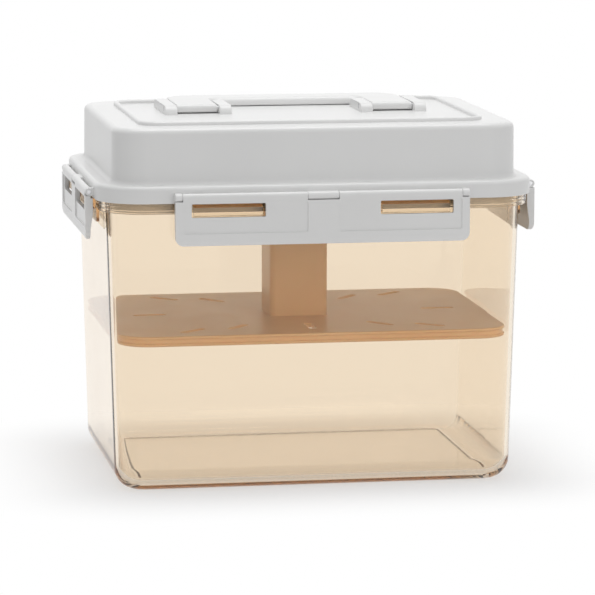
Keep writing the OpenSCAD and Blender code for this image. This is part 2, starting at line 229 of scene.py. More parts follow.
# Stage, in metres, watts and degrees, with the floor's mesh in millimetres.
# The camera's angles are azimuth, elevation and roll.
CAMERA_ANGLES = (-9.73, 8.78, 0.09)
CAMERA_PLACE = (-0.3598, -2.0582, 0.4184)
CAMERA_LENS = 217.57
CAMERA_SENSOR = 36.0
CAMERA_SHIFT = (0.0255, 0.0045)
CAMERA_FAR = 50.0
FLOOR_R = 6000.0
FLOOR_T = 20.0
FLOOR_STEPS = 96
FLOOR_COLOUR = (0.9, 0.9, 0.9, 1)
FADE_FROM = (0.1, 0.07, 0)
FADE = (0.0, 0.1)
FADE_SHARE = 0.55
BACKGROUND = (1, 1, 1, 1)
BACKGROUND_STRENGTH = 1.0
WORLD_LIGHT = 0.42
AIM = Vector((0, 0, 0.12))
LAMPS = (("key", (0.0, 0.15, 1.6), 1.0, 12.0), ("fill", (0.6, -1.6, 0.5), 1.0, 3.0))
BOUNCES = 32


def box_mm(node):
    """Lowest and highest corner of a CAD node, in millimetres."""
    low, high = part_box(node)
    return low / MM, high / MM


# Outlines

def filleted(corners, closed=True):
    """Points of an outline whose corners (x, y) or (x, y, radius) are rounded by arcs."""
    points = []
    count = len(corners)
    for i, corner in enumerate(corners):
        p = Vector(corner[:2])
        radius = corner[2] if len(corner) > 2 else 0.0
        is_end = not closed and i in (0, count - 1)
        if radius <= 0 or is_end:
            points.append(tuple(p))
            continue
        to_prev = Vector(corners[i - 1][:2]) - p
        to_next = Vector(corners[(i + 1) % count][:2]) - p
        half = to_prev.angle(to_next) / 2
        longest = ARC_SHARE * min(to_prev.length, to_next.length)
        reach = min(radius / math.tan(half), longest)
        radius = reach * math.tan(half)
        centre = p + (to_prev.normalized() + to_next.normalized()).normalized() * (radius / math.sin(half))
        start = p + to_prev.normalized() * reach - centre
        turn = math.pi - 2 * half
        side = to_prev.x * to_next.y - to_prev.y * to_next.x
        steps = max(2, math.ceil(math.degrees(turn) / ARC_STEP))
        for j in range(steps + 1):
            angle = (1 if side < 0 else -1) * turn * j / steps
            c, s = math.cos(angle), math.sin(angle)
            points.append((centre.x + c * start.x - s * start.y, centre.y + s * start.x + c * start.y))
    return points


def round_rectangle(width, depth, radius):
    """Outline of a rectangle with round corners, about its middle."""
    x, y = width / 2, depth / 2
    return filleted([(x, -y, radius), (x, y, radius), (-x, y, radius), (-x, -y, radius)])


def round_window(ends, heights, radius):
    """Outline of an upright rectangle with round corners between two ends and two heights."""
    x0, x1 = sorted(ends)
    z0, z1 = heights
    return filleted([(x0, z0, radius), (x1, z0, radius), (x1, z1, radius), (x0, z1, radius)])


def circle(u, v, radius, steps=CIRCLE_STEPS):
    """Outline of a circle."""
    turns = [2 * math.pi * i / steps for i in range(steps)]
    return [(u + radius * math.cos(a), v + radius * math.sin(a)) for a in turns]


# Meshes

def ring(radius, z, centre):
    """Points of a rectangle with round corners about four corner centres, at a height."""
    points = []
    for k, (sx, sy) in enumerate(((1, 1), (-1, 1), (-1, -1), (1, -1))):
        for j in range(CORNER_STEPS + 1):
            a = math.radians(90 * k + 90 * j / CORNER_STEPS)
            points.append((sx * centre[0] + radius * math.cos(a), sy * centre[1] + radius * math.sin(a), z))
    return points


def sweep(bm, section, centre=CENTRE, closed=False):
    """Adds a section of (radius from corner centres, height) carried round; an open one gets flat ends."""
    rings = [[bm.verts.new(p) for p in ring(r, z, centre)] for r, z in section]
    count = len(rings[0])
    last = len(rings) if closed else len(rings) - 1
    for i in range(last):
        a, b = rings[i], rings[(i + 1) % len(rings)]
        for j in range(count):
            k = (j + 1) % count
            bm.faces.new((a[j], a[k], b[k], b[j]))
    if not closed:
        bm.faces.new(rings[0])
        bm.faces.new(rings[-1])


def along_x(u, v, w):
    """A section drawn in Y and Z, carried along X."""
    return (w, u, v)


def along_y(u, v, w):
    """A section drawn in X and Z, carried along Y."""
    return (u, w, v)


def upward(u, v, w):
    """A section drawn in X and Y, carried along Z."""
    return (u, v, w)


def prism(bm, outline, low, high, place):
    """Adds a solid: an outline carried from low to high."""
    rings = [[bm.verts.new(place(u, v, w)) for u, v in outline] for w in (low, high)]
    count = len(outline)
    for j in range(count):
        k = (j + 1) % count
        bm.faces.new((rings[0][j], rings[0][k], rings[1][k], rings[1][j]))
    bm.faces.new(rings[0])
    bm.faces.new(rings[1])


def stack(bm, layers):
    """Adds a solid through outlines, each at its height, that have the same number of points."""
    rings = [[bm.verts.new((x, y, z)) for x, y in outline] for outline, z in layers]
    count = len(rings[0])
    for a, b in zip(rings, rings[1:]):
        for j in range(count):
            k = (j + 1) % count
            bm.faces.new((a[j], a[k], b[k], b[j]))
    bm.faces.new(rings[0])
    bm.faces.new(rings[-1])


def make(name, *builders):
    """A mesh object, in metres, from functions that add solids to a bmesh in millimetres."""
    bm = bmesh.new()
    for build in builders:
        build(bm)
    bmesh.ops.recalc_face_normals(bm, faces=bm.faces)
    bmesh.ops.scale(bm, vec=(MM, MM, MM), verts=bm.verts)
    mesh = bpy.data.meshes.new(name)
    bm.to_mesh(mesh)
    bm.free()
    obj = bpy.data.objects.new(name, mesh)
    bpy.context.scene.collection.objects.link(obj)
    return obj


def settle(obj):
    """Applies an object's modifiers to its mesh."""
    bpy.context.view_layer.update()
    evaluated = obj.evaluated_get(bpy.context.evaluated_depsgraph_get())
    mesh = bpy.data.meshes.new_from_object(evaluated)
    old = obj.data
    obj.modifiers.clear()
    obj.data = mesh
    mesh.name = obj.name
    bpy.data.meshes.remove(old)
    return obj


def combine(obj, other, operation):
    """Unites an object with another, or cuts the other out of it, and removes the other."""
    modifier = obj.modifiers.new("combine", "BOOLEAN")
    modifier.object = other
    modifier.operation = operation
    modifier.solver = "EXACT"
    settle(obj)
    bpy.data.objects.remove(other)
    return obj


def clean(obj):
    """Merges doubled points and slivers that cuts and bevels leave, and deletes points without faces."""
    bm = bmesh.new()
    bm.from_mesh(obj.data)
    bmesh.ops.remove_doubles(bm, verts=bm.verts, dist=SLIVER * MM)
    bmesh.ops.dissolve_degenerate(bm, edges=bm.edges, dist=SLIVER * MM)
    loose = [v for v in bm.verts if not v.link_faces]
    bmesh.ops.delete(bm, geom=loose, context="VERTS")
    bm.to_mesh(obj.data)
    bm.free()
    return obj


def soften(obj, width=0.0, limit=SMOOTH_ANGLE):
    """Rounds edges sharper than a limit by a width and shades smooth, with flat faces kept flat."""
    clean(obj)
    if width > 0:
        bevel = obj.modifiers.new("bevel", "BEVEL")
        bevel.width = width * MM
        bevel.segments = BEVEL_SEGMENTS
        bevel.limit_method = "ANGLE"
        bevel.angle_limit = math.radians(limit)
        bevel.miter_outer = "MITER_ARC"
        settle(obj)
        clean(obj)
    obj.data.shade_smooth()
    obj.data.set_sharp_from_angle(angle=math.radians(limit))
    normals = obj.modifiers.new("normals", "WEIGHTED_NORMAL")
    normals.keep_sharp = True
    normals.weight = NORMAL_WEIGHT
    return settle(obj)


def on_side(obj, side):
    """Turns a piece drawn on the front to another side of the lid."""
    reach = CENTRE[1 if side in ("front", "back") else 0] + SKIRT_R
    turn = Matrix.Rotation(math.radians(SIDE_TURNS[side]), 4, "Z")
    obj.data.transform(turn @ Matrix.Translation((0, -reach * MM, 0)))
    return obj


def latch_length(side):
    """Length of the latch on a side, from its CAD node."""
    low, high = box_mm("latch_" + side)
    return (high - low)[0 if side in ("front", "back") else 1]


def join(obj, *others):
    """Joins more solids into an object."""
    bm = bmesh.new()
    for o in (obj, *others):
        bm.from_mesh(o.data)
    bm.to_mesh(obj.data)
    bm.free()
    for o in others:
        bpy.data.objects.remove(o)
    return obj


# Materials

def new_material(name):
    """An empty node material and its output."""
    material = bpy.data.materials.new(name)
    material.use_nodes = True
    material.node_tree.nodes.clear()
    out = material.node_tree.nodes.new("ShaderNodeOutputMaterial")
    return material, material.node_tree, out


def noise(tree, scale, detail=2.0, stretch=(1, 1, 1)):
    """A noise value over the object, with features of about one metre divided by scale."""
    coords = tree.nodes.new("ShaderNodeTexCoord")
    mapping = tree.nodes.new("ShaderNodeMapping")
    mapping.inputs["Scale"].default_value = stretch
    texture = tree.nodes.new("ShaderNodeTexNoise")
    texture.inputs["Scale"].default_value = scale
    texture.inputs["Detail"].default_value = detail
    tree.links.new(coords.outputs["Object"], mapping.inputs["Vector"])
    tree.links.new(mapping.outputs["Vector"], texture.inputs["Vector"])
    return texture.outputs["Fac"]


def between(tree, value, low, high):
    """A noise value stretched to run from low to high."""
    node = tree.nodes.new("ShaderNodeMapRange")
    node.inputs["From Min"].default_value = NOISE_RANGE[0]
    node.inputs["From Max"].default_value = NOISE_RANGE[1]
    node.inputs["To Min"].default_value = low
    node.inputs["To Max"].default_value = high
    tree.links.new(value, node.inputs["Value"])
    return node.outputs["Result"]


def tint(tree, value, low, high):
    """A colour between two, chosen by a noise value."""
    node = tree.nodes.new("ShaderNodeMix")
    node.data_type = "RGBA"
    node.inputs["A"].default_value = (*low, 1)
    node.inputs["B"].default_value = (*high, 1)
    tree.links.new(between(tree, value, 0, 1), node.inputs["Factor"])
    return node.outputs["Result"]


def relief(tree, value, strength, distance):
    """A bump from a noise value."""
    node = tree.nodes.new("ShaderNodeBump")
    node.inputs["Strength"].default_value = strength
    node.inputs["Distance"].default_value = distance * MM
    tree.links.new(value, node.inputs["Height"])
    return node.outputs["Normal"]


def moulded(name, low, high, rough, grain, depth, **sockets):
    """Moulded plastic: slight clouds in its colour, uneven gloss and a fine grain."""
    material, tree, out = new_material(name)
    shader = tree.nodes.new("ShaderNodeBsdfPrincipled")
    for socket, value in sockets.items():
        shader.inputs[socket.replace("_", " ")].default_value = value
    clouds = noise(tree, scale=18, detail=3)
    gloss = noise(tree, scale=70, detail=4)
    bumps = noise(tree, scale=grain, detail=3)
    tree.links.new(tint(tree, clouds, low, high), shader.inputs["Base Color"])
    tree.links.new(between(tree, gloss, *rough), shader.inputs["Roughness"])
    tree.links.new(relief(tree, bumps, strength=0.35, distance=depth), shader.inputs["Normal"])
    tree.links.new(shader.outputs["BSDF"], out.inputs["Surface"])
    return material


def clear_plastic():
    """Clear moulding that is tinted by its thickness and lets lamps shine through."""
    material, tree, out = new_material("clear_plastic")
    shader = tree.nodes.new("ShaderNodeBsdfPrincipled")
    shader.inputs["Base Color"].default_value = CLEAR_COLOUR
    shader.inputs["Transmission Weight"].default_value = 1.0
    shader.inputs["IOR"].default_value = CLEAR_IOR
    gloss = noise(tree, scale=45, detail=4)
    waves = noise(tree, scale=22, detail=1, stretch=(1, 1, 0.4))
    tree.links.new(between(tree, gloss, low=0.0, high=0.05), shader.inputs["Roughness"])
    tree.links.new(relief(tree, waves, strength=0.06, distance=0.6), shader.inputs["Normal"])
    lamps = tree.nodes.new("ShaderNodeLightPath")
    open_way = tree.nodes.new("ShaderNodeBsdfTransparent")
    open_way.inputs["Color"].default_value = CLEAR_SHADOW
    mix = tree.nodes.new("ShaderNodeMixShader")
    tree.links.new(lamps.outputs["Is Shadow Ray"], mix.inputs["Fac"])
    tree.links.new(shader.outputs["BSDF"], mix.inputs[1])
    tree.links.new(open_way.outputs["BSDF"], mix.inputs[2])
    tree.links.new(mix.outputs["Shader"], out.inputs["Surface"])
    absorb = tree.nodes.new("ShaderNodeVolumeAbsorption")
    absorb.inputs["Color"].default_value = CLEAR_DEPTH_COLOUR
    absorb.inputs["Density"].default_value = CLEAR_DEPTH_DENSITY
    tree.links.new(absorb.outputs["Volume"], out.inputs["Volume"])
    return material


def steel():
    """Drawn pin steel with fine lines along X."""
    material, tree, out = new_material("pin_steel")
    shader = tree.nodes.new("ShaderNodeBsdfPrincipled")
    shader.inputs["Metallic"].default_value = 1.0
    clouds = noise(tree, scale=90, detail=2)
    lines = noise(tree, scale=900, detail=2, stretch=(0.05, 1, 1))
    colour = tint(tree, clouds, low=(0.55, 0.55, 0.56), high=(0.68, 0.68, 0.69))
    tree.links.new(colour, shader.inputs["Base Color"])
    tree.links.new(between(tree, lines, low=0.22, high=0.4), shader.inputs["Roughness"])
    tree.links.new(shader.outputs["BSDF"], out.inputs["Surface"])
    return material


CLEAR = clear_plastic()
WHITE = moulded("white_plastic", low=(0.825, 0.825, 0.82), high=(0.845, 0.845, 0.84), rough=(0.28, 0.32),
                grain=450, depth=0.012, Specular_IOR_Level=0.35)
PRESS = moulded("press_plastic", low=(0.88, 0.56, 0.3), high=(0.92, 0.61, 0.35), rough=(0.3, 0.38),
                grain=450, depth=0.03,
                Transmission_Weight=0.05, Subsurface_Weight=0.1, Subsurface_Scale=0.006)
SILICONE = moulded("silicone", low=(0.74, 0.74, 0.72), high=(0.8, 0.8, 0.78), rough=(0.5, 0.62),
                   grain=600, depth=0.06, Subsurface_Weight=0.3, Subsurface_Scale=0.003)
STEEL = steel()


def finish_piece(obj, body, node, material):
    """Puts a finished piece on its body, in place of its CAD node."""
    obj.data.materials.clear()
    obj.data.materials.append(material)
    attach(obj, body)
    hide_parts(node)
    return obj


# Container

def body_r(z):
    """Radius of the container's outer wall at a height."""
    return BODY_R - (CONTAINER_TOP - z) * DRAFT


def container_section():
    """The container's wall: foot ring, base fillet, wall, rim with its lip, and the inside."""
    rim_under = CONTAINER_TOP - RIM_T
    base = body_r(0)
    foot = base - BASE_FILLET
    lines = []
    for z in LIP_LINES:
        lines.append((RIM_R, z, LIP_LINE_EDGE))
        lines.append((RIM_R - LIP_LINE_DEPTH, z + LIP_LINE_W / 2, LIP_LINE_EDGE))
        lines.append((RIM_R, z + LIP_LINE_W, LIP_LINE_EDGE))
    return filleted([
        (START_R, FOOT_H), (foot - 2 * FOOT_H, FOOT_H, FOOT_EDGE), (foot - FOOT_H, 0, FOOT_EDGE),
        (base, 0, BASE_FILLET), (body_r(rim_under), rim_under, RIM_EDGE),
        (LIP_R, rim_under, LIP_INNER_EDGE), (LIP_R, LIP_Z, LIP_EDGE), (RIM_R, LIP_Z, LIP_EDGE),
        *lines, (RIM_R, CONTAINER_TOP, RIM_EDGE), (BODY_R - WALL, CONTAINER_TOP, RIM_EDGE),
        (body_r(FLOOR_Z) - WALL, FLOOR_Z, BASE_FILLET - WALL), (START_R, FLOOR_Z)], closed=False)


def apron_skin(bm, half):
    """Thin wall that carries the rim's lip on downward."""
    top = LIP_Z + WELD
    outline = filleted([(-half, APRON_Z, APRON_CORNER), (half, APRON_Z, APRON_CORNER),
                        (half, top), (-half, top)])
    prism(bm, outline, APRON_Y, APRON_Y + LIP_T, along_y)


def gusset(bm, x):
    """Web from the apron back to the container's wall, starting at x."""
    top = LIP_Z + WELD
    toe = APRON_Z - GUSSET_DROP
    wall = SKIRT_R - body_r(toe) + WALL / 2
    section = [(APRON_Y, APRON_Z + WELD), (APRON_Y, top), (wall, top), (wall, toe), (wall - GUSSET_TOE, toe)]
    prism(bm, section, x, x + LIP_T, along_x)


def catch(bm, x):
    """Catch on the apron for a latch's window, about x."""
    low, front, back = CATCH_EDGES
    top = CATCH_Z + CATCH_H
    half = WINDOW_LEN / 2 - CATCH_GAP
    section = filleted([(APRON_Y + WELD, CATCH_Z), (-CATCH_OUT, CATCH_Z, low),
                        (-CATCH_OUT, CATCH_Z + CATCH_FACE, front),
                        (APRON_Y, top, back), (APRON_Y + WELD, top)])
    prism(bm, section, x - half, x + half, along_x)


def apron(length):
    """Apron below the rim's lip, with gussets and two catches, drawn on the front."""
    half = length / 2 - APRON_END
    catch_x = length / 2 - WINDOW_END - WINDOW_LEN / 2
    obj = make("apron", partial(apron_skin, half=half))
    for x in (-half, -LIP_T / 2, half - LIP_T):
        combine(obj, make("gusset", partial(gusset, x=x)), "UNION")
    for x in (-catch_x, catch_x):
        combine(obj, make("catch", partial(catch, x=x)), "UNION")
    return obj


def build_container():
    """The clear container with an apron under each latch."""
    obj = make("container_clear", lambda bm: sweep(bm, container_section()))
    for side in SIDES:
        combine(obj, on_side(apron(latch_length(side)), side), "UNION")
    soften(obj)
    return finish_piece(obj, "container", "container", CLEAR)


# Lid

def lid_section():
    """The lid's wall: dome, flange and skirt outside, gasket seat and plug inside."""
    skirt_in = SKIRT_R - SKIRT_T
    dome_in = DOME_R - DOME_WALL
    inside = DOME_TOP - DOME_WALL
    return filleted([
        (START_R, DOME_TOP), (DOME_R - DOME_LEAN, DOME_TOP, SHOULDER), (DOME_R, FLANGE_TOP, DOME_FILLET),
        (SKIRT_R, FLANGE_TOP, SKIRT_EDGE), (SKIRT_R, SKIRT_Z, SKIRT_END_EDGE),
        (skirt_in, SKIRT_Z, SKIRT_END_EDGE), (skirt_in, RIB_Z, RIB_EDGE),
        (RIB_R, RIB_Z, RIB_EDGE), (RIB_R, FLANGE_UNDER), (DOME_R, FLANGE_UNDER),
        (DOME_R, PLUG_Z, PLUG_EDGE), (dome_in, PLUG_Z, PLUG_EDGE),
        (dome_in - DOME_LEAN, inside, SHOULDER - DOME_WALL), (START_R, inside)], closed=False)


def ridge(bm):
    """Raised ridge round the dome's top."""
    top = DOME_TOP + RIDGE_H
    inner = RIDGE_R - RIDGE_W
    low = DOME_TOP - WELD
    section = filleted([(RIDGE_R, low), (RIDGE_R, top, RIDGE_EDGE), (inner, top, RIDGE_EDGE), (inner, low)])
    sweep(bm, section, RIDGE_CENTRE, closed=True)


def rails():
    """Four rails beside the handle's arms, with holes for the handle's pins."""
    top = box_mm("lid_shell")[1].z
    pivot = box_mm("handle_pin_left")[0].z + HANDLE_PIN_R
    low = DOME_TOP - WELD
    height = top - DOME_TOP
    gap = ARM_W / 2 + ARM_GAP

    def blocks(bm):
        for s in (-1, 1):
            for near, far, back in ((ARM_X + gap, ARM_X + gap + RAIL_W, RAIL_BACK),
                                    (ARM_X - gap - RAIL_W, ARM_X - gap, INNER_RAIL_BACK)):
                section = filleted([(RAIL_FRONT, low), (back, low),
                                    (back, top, height), (RAIL_FRONT, top, height)])
                ends = sorted((s * near, s * far))
                prism(bm, section, *ends, along_x)

    def holes(bm):
        reach = ARM_X + gap + RAIL_W + PAST
        prism(bm, circle(0, pivot, HANDLE_PIN_R), -reach, reach, along_x)

    obj = combine(make("rails", blocks), make("pin_holes", holes), "DIFFERENCE")
    return soften(obj, RAIL_BEVEL, BLOCK_ANGLE)


def lugs(length):
    """Hinge lugs on the skirt's face at a latch's ends and middle, drawn on the front."""
    low, top = HINGE_Z - BARREL_R, HINGE_Z + BARREL_R
    front = -HINGE_OUT - BARREL_R
    section = filleted([(WELD, low), (WELD, top), (front, top, BARREL_R), (front, low, BARREL_R)])
    half = length / 2

    def blocks(bm):
        for start, end in ((-half, END_LUG - half), (-STRIP_W / 2, STRIP_W / 2), (half - END_LUG, half)):
            prism(bm, section, start, end, along_x)

    def hole(bm):
        prism(bm, circle(-HINGE_OUT, HINGE_Z, PIN_HOLE), -half - PAST, half + PAST, along_x)

    obj = combine(make("lugs", blocks), make("pin_hole", hole), "DIFFERENCE")
    return soften(obj, LUG_BEVEL, BLOCK_ANGLE)


def socket(bm):
    """Square collar under the dome round the stem's upper end."""
    centre = box_mm("guide_stem")[1].x + SEAT_GAP - STEM_R
    inside = DOME_TOP - DOME_WALL
    top, low = inside + WELD, inside - SOCKET_DEPTH
    outer = STEM_R + SOCKET_WALL
    section = filleted([(STEM_R, top), (STEM_R, low, SOCKET_EDGE), (outer, low, SOCKET_EDGE), (outer, top)])
    sweep(bm, section, (centre, centre), closed=True)


def build_lid():
    """The lid: dome, flange and skirt, with the ridge, rails, lugs and the stem's socket."""
    shell = soften(make("lid_cover", lambda bm: sweep(bm, lid_section()), ridge, socket))
    parts = [rails()] + [on_side(lugs(latch_length(side)), side) for side in SIDES]
    join(shell, *parts)
    return finish_piece(shell, "lid", "lid_shell", WHITE)


def build_gasket():
    """Silicone ring under the flange, with a bevelled sealing face."""
    low = box_mm("lid_gasket")[0].z
    inner, outer = GASKET_R
    side = low + GASKET_BEVEL
    section = filleted([
        (inner, FLANGE_UNDER, GASKET_TOP_EDGE), (outer, FLANGE_UNDER, GASKET_TOP_EDGE),
        (outer, side, GASKET_EDGE), (outer - GASKET_BEVEL, low, GASKET_EDGE),
        (inner + GASKET_BEVEL, low, GASKET_EDGE), (inner, side, GASKET_EDGE)])
    obj = soften(make("seal_ring", lambda bm: sweep(bm, section, closed=True)))
    return finish_piece(obj, "lid", "lid_gasket", SILICONE)


# Latches

def curve_lower_end(obj):
    """Curves the lower end of a latch's outer face inward."""
    depth, height = CURVE
    bm = bmesh.new()
    bm.from_mesh(obj.data)
    for share in CURVE_LEVELS:
        level = (LATCH_Z + height * share) * MM
        every = [*bm.verts, *bm.edges, *bm.faces]
        bmesh.ops.bisect_plane(bm, geom=every, plane_co=(0, 0, level), plane_no=(0, 0, 1))
    for vert in bm.verts:
        drop = max(0.0, 1 - (vert.co.z / MM - LATCH_Z) / height)
        inward = depth * (1 - math.sqrt(1 - min(drop, 1.0) ** 2))
        outness = (-vert.co.y / MM - LATCH_IN) / (LATCH_OUT - LATCH_IN)
        vert.co.y += inward * outness * MM
    bm.to_mesh(obj.data)
    bm.free()
    return obj


def latch_flap(bm, half):
    """The flap's plate."""
    outline = filleted([(-half, LATCH_Z, LATCH_CORNER), (half, LATCH_Z, LATCH_CORNER),
                        (half, LATCH_TOP, LATCH_TOP_CORNER), (-half, LATCH_TOP, LATCH_TOP_CORNER)])
    prism(bm, outline, -LATCH_OUT, -LATCH_IN, along_y)


def latch_returns(bm, half):
    """Thin returns behind the flap's two ends."""
    low, top = RETURN_Z
    section = [(-LATCH_IN - WELD, low), (-LATCH_IN, low), (-RETURN_IN, low + RETURN_TAPER),
               (-RETURN_IN, top), (-LATCH_IN - WELD, top)]
    for s in (-1, 1):
        ends = sorted((s * (half - RETURN_T), s * half))
        prism(bm, section, *ends, along_x)


def latch_barrels(bm, half):
    """Hinge barrels between the lid's lugs."""
    lug_edge = STRIP_W / 2 + HINGE_GAP
    barrel_end = half - END_LUG - HINGE_GAP
    joint = LATCH_TOP - BARREL_SINK
    low, top = HINGE_Z - BARREL_R, HINGE_Z + BARREL_R
    back, front = -HINGE_OUT + BARREL_R, -HINGE_OUT - BARREL_R
    section = filleted([(-LATCH_OUT, joint), (-LATCH_IN, joint), (-LATCH_IN, low),
                        (back, low, BARREL_R), (back, top, BARREL_R), (front, top, BARREL_R)])
    for start, end in ((-barrel_end, -lug_edge), (lug_edge, barrel_end)):
        prism(bm, section, start, end, along_x)


def latch_panels(bm, half):
    """Sunk panels beside the middle strip."""
    for s in (-1, 1):
        ends = (s * STRIP_W / 2, s * (half - PANEL_END))
        panel = round_window(ends, PANEL_Z, PANEL_CORNER)
        prism(bm, panel, -LATCH_OUT - PAST, -LATCH_OUT + PANEL_DEPTH, along_y)


def latch_holes(bm, half):
    """The pin's hole and the two windows."""
    prism(bm, circle(-HINGE_OUT, HINGE_Z, PIN_HOLE), -half - PAST, half + PAST, along_x)
    for s in (-1, 1):
        ends = (s * (half - WINDOW_END - WINDOW_LEN), s * (half - WINDOW_END))
        window = round_window(ends, WINDOW_Z, WINDOW_CORNER)
        prism(bm, window, -LATCH_OUT - PAST, -LATCH_IN + PAST, along_y)


def latch(name, length):
    """A latch, drawn on the front: flap, hinge barrels, two windows and panels beside a raised strip."""
    half = length / 2
    obj = make(name, partial(latch_flap, half=half))
    combine(obj, make("returns", partial(latch_returns, half=half)), "UNION")
    combine(obj, make("barrels", partial(latch_barrels, half=half)), "UNION")
    combine(obj, make("panels", partial(latch_panels, half=half)), "DIFFERENCE")
    combine(obj, make("holes", partial(latch_holes, half=half)), "DIFFERENCE")
    soften(obj, LATCH_BEVEL)
    curve_lower_end(obj)
    return soften(obj)


def build_latches():
    """The four latches."""
    for side in SIDES:
        node = "latch_" + side
        obj = on_side(latch(node + "_flap", latch_length(side)), side)
        finish_piece(obj, node, node, WHITE)


# Handle

def handle_outline(inset, z):
    """The handle's outline at a height, drawn in by an inset, with round arm ends."""
    low, high = box_mm("carry_handle")
    middle = (low.z + high.z) / 2
    end_r = (high.z - low.z) / 2
    front = low.y + end_r - math.sqrt(max(0.0, end_r ** 2 - (z - middle) ** 2))
    near, far = GRIP_Y + inset, high.y - inset
    out, into = high.x - ARM_SOFT * inset, high.x - ARM_W + ARM_SOFT * inset
    return filleted([(-out, front), (-into, front), (-into, near, HANDLE_R / 2), (into, near, HANDLE_R / 2),
                     (into, front), (out, front), (out, far, HANDLE_R), (-out, far, HANDLE_R)])


def handle_bow(bm):
    """The handle's bow, with its lower and upper edges rounded."""
    low, high = box_mm("carry_handle")
    turns = [math.radians(90 * i / GRIP_STEPS) for i in range(GRIP_STEPS + 1)]
    under = [(GRIP_UNDER * (1 - math.sin(a)), low.z + GRIP_UNDER * (1 - math.cos(a))) for a in turns]
    over = [(GRIP_ROUND * (1 - math.cos(a)), high.z - GRIP_ROUND * (1 - math.sin(a))) for a in turns]
    stack(bm, [(handle_outline(inset, z), z) for inset, z in under + over])


def handle_cuts(bm):
    """The pins' hole and the relief under the grip."""
    low, high = box_mm("carry_handle")
    pin = circle(0, (low.z + high.z) / 2, HANDLE_PIN_R + HANDLE_PIN_PLAY)
    prism(bm, pin, -high.x - PAST, high.x + PAST, along_x)
    reach = high.x - ARM_W - HANDLE_R / 2
    start, end = GRIP_Y + RELIEF_START, high.y + PAST
    hollow = filleted([(-reach, start, RELIEF_CORNER), (reach, start, RELIEF_CORNER),
                       (reach, end), (-reach, end)])
    prism(bm, hollow, low.z - PAST, low.z + GRIP_RELIEF, upward)


def build_handle():
    """The folded carry handle: a flat bow with round arm ends and a relief under its grip."""
    obj = make("handle_bow", handle_bow)
    combine(obj, make("cuts", handle_cuts), "DIFFERENCE")
    soften(obj)
    return finish_piece(obj, "handle", "carry_handle", WHITE)


# Press

def tube(name, node, radius, wall):
    """A square tube with round corners and softened ends, as its CAD node lies."""
    low, high = box_mm(node)
    half = high.x
    centre = (half - radius, half - radius)
    inner = radius - wall
    section = filleted([(radius, low.z, TUBE_OUTER_EDGE), (radius, high.z, TUBE_OUTER_EDGE),
                        (inner, high.z, TUBE_INNER_EDGE), (inner, low.z, TUBE_INNER_EDGE)])
    return soften(make(name, lambda bm: sweep(bm, section, centre, closed=True)))


def slit_outlines(reach_x, reach_y):
    """Outlines of the drain slits, each pointing at the plate's middle."""
    slot = round_rectangle(SLIT_LEN, SLIT_W, SLIT_W / 2 - SLIT_END_FLAT / 2)
    quarters = [(sx, sy) for sx in (-1, 1) for sy in (-1, 1)]
    places = {(sx * u * reach_x, sy * v * reach_y) for u, v in SLIT_PLACES for sx, sy in quarters}
    for x, y in sorted(places):
        turn = math.atan2(y, x)
        c, s = math.cos(turn), math.sin(turn)
        yield [(x + c * u - s * v, y + s * u + c * v) for u, v in slot]


def plate_shell(bm):
    """Flat plate with a turned-down rim that has two beads."""
    low, high = box_mm("press_plate")
    edge = high.x - PLATE_CENTRE[0]
    bead = edge + BEAD_PROUD
    waist = edge - BEAD_GROOVE
    inner = edge - RIM_WALL
    under = high.z - PLATE_T
    bead_low, bead_high = low.z + BEAD_H, high.z - BEAD_H
    section = filleted([
        (START_R, under), (inner, under, PLATE_EDGE), (inner, low.z, WAIST_EDGE),
        (bead, low.z, PLATE_EDGE), (bead, bead_low, BEAD_EDGE), (waist, bead_low, WAIST_EDGE),
        (waist, bead_high, WAIST_EDGE), (bead, bead_high, BEAD_EDGE),
        (bead, high.z, PLATE_EDGE), (START_R, high.z)], closed=False)
    sweep(bm, section, PLATE_CENTRE)


def plate_boss(bm):
    """Round boss under the plate's middle."""
    low, high = box_mm("press_plate")
    prism(bm, circle(0, 0, BOSS_R, BOSS_STEPS), low.z, high.z - PLATE_T / 2, upward)


def plate_cuts(bm):
    """The post's seat and the drain slits."""
    high = box_mm("press_plate")[1]
    seat = 2 * (box_mm("press_post")[1].x + SEAT_GAP)
    prism(bm, round_rectangle(seat, seat, POST_R), high.z - SEAT_H, high.z + PAST, upward)
    for outline in slit_outlines(high.x - SLIT_INSET, high.y - SLIT_INSET):
        prism(bm, outline, high.z - PLATE_T - PAST, high.z + PAST, upward)


def build_plate():
    """The press plate: flat top, turned-down rim with two beads, the post's seat in a boss, and slits."""
    obj = make("plate_disc", plate_shell)
    combine(obj, make("boss", plate_boss), "UNION")
    combine(obj, make("cuts", plate_cuts), "DIFFERENCE")
    soften(obj, PLATE_BEVEL)
    return finish_piece(obj, "press", "press_plate", PRESS)


def build_press():
    """The press plate, its post and the lid's stem inside the post."""
    build_plate()
    post = tube("post_tube", "press_post", POST_R, POST_WALL)
    finish_piece(post, "press", "press_post", PRESS)
    stem = tube("stem_tube", "guide_stem", STEM_R, STEM_WALL)
    finish_piece(stem, "lid", "guide_stem", PRESS)


def finish_pins():
    """Steel on the hinge pins, which keep their CAD shapes."""
    for name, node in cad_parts.items():
        if "_pin_" in name:
            node.data.materials.clear()
            node.data.materials.append(STEEL)


# Stage

def ray_share(tree):
    """1 for what the camera sees directly, in a reflection or through clear plastic, else 0."""
    path = tree.nodes.new("ShaderNodeLightPath")
    total = path.outputs["Is Camera Ray"]
    for name in ("Is Glossy Ray", "Is Transmission Ray"):
        add = tree.nodes.new("ShaderNodeMath")
        add.operation = "ADD"
        add.use_clamp = True
        tree.links.new(total, add.inputs[0])
        tree.links.new(path.outputs[name], add.inputs[1])
        total = add.outputs["Value"]
    return total


